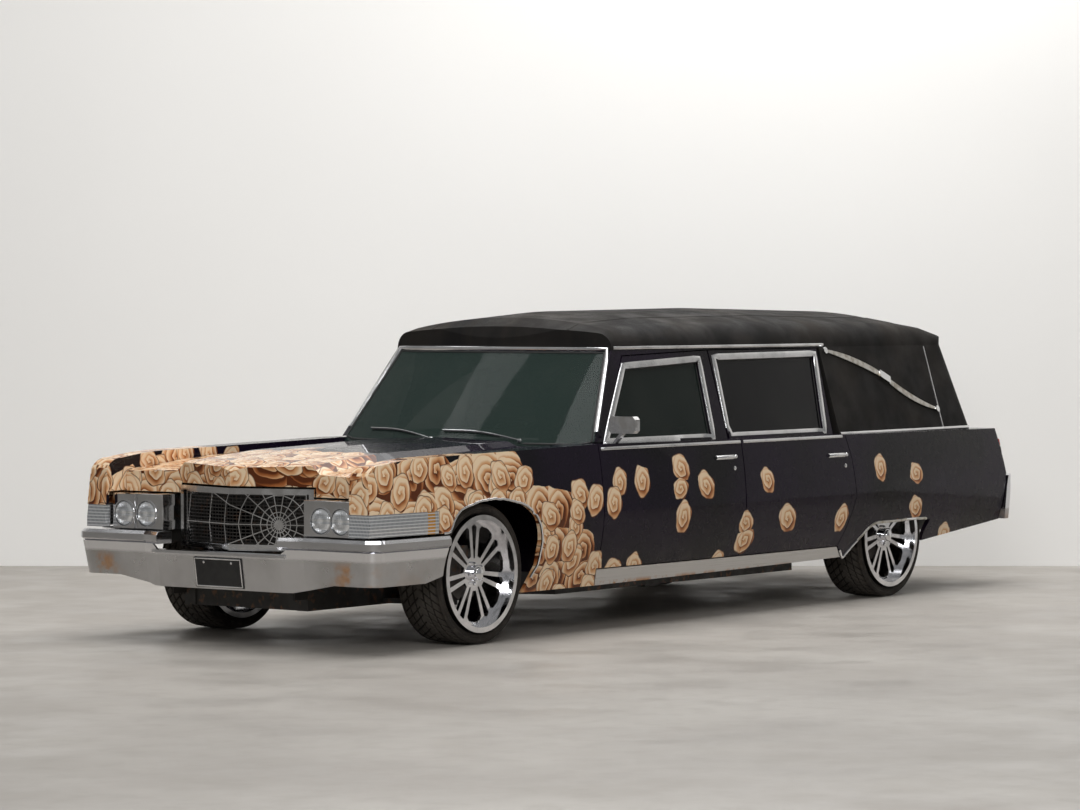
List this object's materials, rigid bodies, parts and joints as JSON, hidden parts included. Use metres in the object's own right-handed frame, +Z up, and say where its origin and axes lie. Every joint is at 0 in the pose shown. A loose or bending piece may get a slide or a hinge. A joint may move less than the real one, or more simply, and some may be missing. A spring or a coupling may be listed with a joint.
{
  "type": "hearse",
  "caption": "Long-wheelbase custom hearse with side doors, rear loading door, landau bars, web-pattern grille and large alloy wheels.",
  "frame": {"origin": "on the floor under the middle of the car's length, on its centre plane", "axes": "-X towards the front bumper, +X towards the rear bumper, -Y to the car's left (driver's) side, +Z up"},
  "size_m": [6.35, 2.058, 1.69],
  "materials": {
    "body_paint": "gloss black paint",
    "vinyl": "matte black vinyl, dusty",
    "chrome": "bright chrome",
    "brushed": "satin steel",
    "polished": "polished aluminium",
    "tyre": "dark brown-black rubber",
    "glass": "dark tinted glass",
    "screen_glass": "greenish glass",
    "lens": "clear ribbed lens",
    "red_lens": "red lens",
    "black_steel": "black chassis paint",
    "cast_iron": "bare casting",
    "trim": "black cabin trim",
    "deck_wood": "varnished deck",
    "black_plastic": "matte black"
  },
  "bodies": {
    "hearse_body": {"casket_deck": "deck_wood", "chassis_frame": "black_steel", "corner_lamps": "lens", "cowl": "body_paint", "crossmembers": "black_steel", "dashboard": "black_plastic", "drive_shaft": "black_steel", "engine": "cast_iron", "exhaust": "brushed", "floor_pan": "black_steel", "front_bumper": "chrome", "front_fenders": "body_paint", "front_header": "black_steel", "front_seat": "trim", "front_suspension": "black_steel", "fuel_tank": "brushed", "grille_frame": "chrome", "grille_mesh": "black_plastic", "grille_web": "brushed", "headlamp_bezels": "chrome", "headlamp_lenses": "lens", "landau_bars": "chrome", "load_floor": "black_steel", "number_plate": "black_plastic", "quarter_panels": "body_paint", "rear_axle": "cast_iron", "rear_bumper": "chrome", "rear_frame": "body_paint", "rear_springs": "black_steel", "rockers": "brushed", "roof": "vinyl", "side_frames": "body_paint", "steering_column": "black_plastic", "tail_lamps": "red_lens", "upper_quarters": "vinyl", "wheelhouses": "black_steel", "windscreen": "screen_glass"},
    "hood": {"hood": "body_paint"},
    "front_door_left": {"door_front_left": "body_paint", "glass_front_left": "glass", "mirror_left": "chrome"},
    "front_door_right": {"door_front_right": "body_paint", "glass_front_right": "glass"},
    "side_door_left": {"door_rear_left": "body_paint", "glass_rear_left": "glass"},
    "side_door_right": {"door_rear_right": "body_paint", "glass_rear_right": "glass"},
    "loading_door": {"rear_door": "body_paint", "glass_rear_door": "glass"},
    "steer_knuckle_left": {"knuckle_left": "cast_iron"},
    "steer_knuckle_right": {"knuckle_right": "cast_iron"},
    "hand_wheel": {"steering_wheel": "black_plastic"},
    "wheel_front_left": {"tyre_front_left": "tyre", "rim_front_left": "polished"},
    "wheel_front_right": {"tyre_front_right": "tyre", "rim_front_right": "polished"},
    "wheel_rear_left": {"tyre_rear_left": "tyre", "rim_rear_left": "polished"},
    "wheel_rear_right": {"tyre_rear_right": "tyre", "rim_rear_right": "polished"}
  },
  "joints": [
    {"name": "wheel_spin_front_left", "type": "hinge", "parent": "steer_knuckle_left", "child": "wheel_front_left", "pos_m": [-2.206, -0.7895, 0.357], "axis": [0, 1, 0], "continuous": true},
    {"name": "wheel_spin_front_right", "type": "hinge", "parent": "steer_knuckle_right", "child": "wheel_front_right", "pos_m": [-2.206, 0.7895, 0.357], "axis": [0, 1, 0], "continuous": true},
    {"name": "wheel_spin_rear_left", "type": "hinge", "parent": "hearse_body", "child": "wheel_rear_left", "pos_m": [1.756, -0.7895, 0.357], "axis": [0, 1, 0], "continuous": true},
    {"name": "wheel_spin_rear_right", "type": "hinge", "parent": "hearse_body", "child": "wheel_rear_right", "pos_m": [1.756, 0.7895, 0.357], "axis": [0, 1, 0], "continuous": true},
    {"name": "steer_left", "type": "hinge", "parent": "hearse_body", "child": "steer_knuckle_left", "pos_m": [-2.206, -0.75, 0.357], "axis": [0, 0, 1], "range_deg": [-30, 30]},
    {"name": "steer_right", "type": "hinge", "parent": "hearse_body", "child": "steer_knuckle_right", "pos_m": [-2.206, 0.75, 0.357], "axis": [0, 0, 1], "range_deg": [-30, 30]},
    {"name": "steering_wheel_turn", "type": "hinge", "parent": "hearse_body", "child": "hand_wheel", "pos_m": [-0.825, -0.36, 0.905], "axis": [0.9136, 0, 0.4067], "range_deg": [-450, 450]},
    {"name": "hood_lift", "type": "hinge", "parent": "hearse_body", "child": "hood", "pos_m": [-1.25, 0, 0.954], "axis": [0, 1, 0], "range_deg": [0, 50]},
    {"name": "front_door_left_swing", "type": "hinge", "parent": "hearse_body", "child": "front_door_left", "pos_m": [-1.215, -0.985, 0.6], "axis": [0, 0, -1], "range_deg": [0, 65]},
    {"name": "front_door_right_swing", "type": "hinge", "parent": "hearse_body", "child": "front_door_right", "pos_m": [-1.215, 0.985, 0.6], "axis": [0, 0, 1], "range_deg": [0, 65]},
    {"name": "side_door_left_swing", "type": "hinge", "parent": "hearse_body", "child": "side_door_left", "pos_m": [0.119, -0.997, 0.6], "axis": [0, 0, -1], "range_deg": [0, 65]},
    {"name": "side_door_right_swing", "type": "hinge", "parent": "hearse_body", "child": "side_door_right", "pos_m": [0.119, 0.997, 0.6], "axis": [0, 0, 1], "range_deg": [0, 65]},
    {"name": "loading_door_swing", "type": "hinge", "parent": "hearse_body", "child": "loading_door", "pos_m": [3.103, -0.601, 0.69], "axis": [0.1676, 0, -0.9859], "range_deg": [0, 95]}
  ],
  "couplings": [
    {"joint": "steer_right", "follows": "steer_left", "ratio": 1},
    {"joint": "steering_wheel_turn", "follows": "steer_left", "ratio": 15}
  ]
}
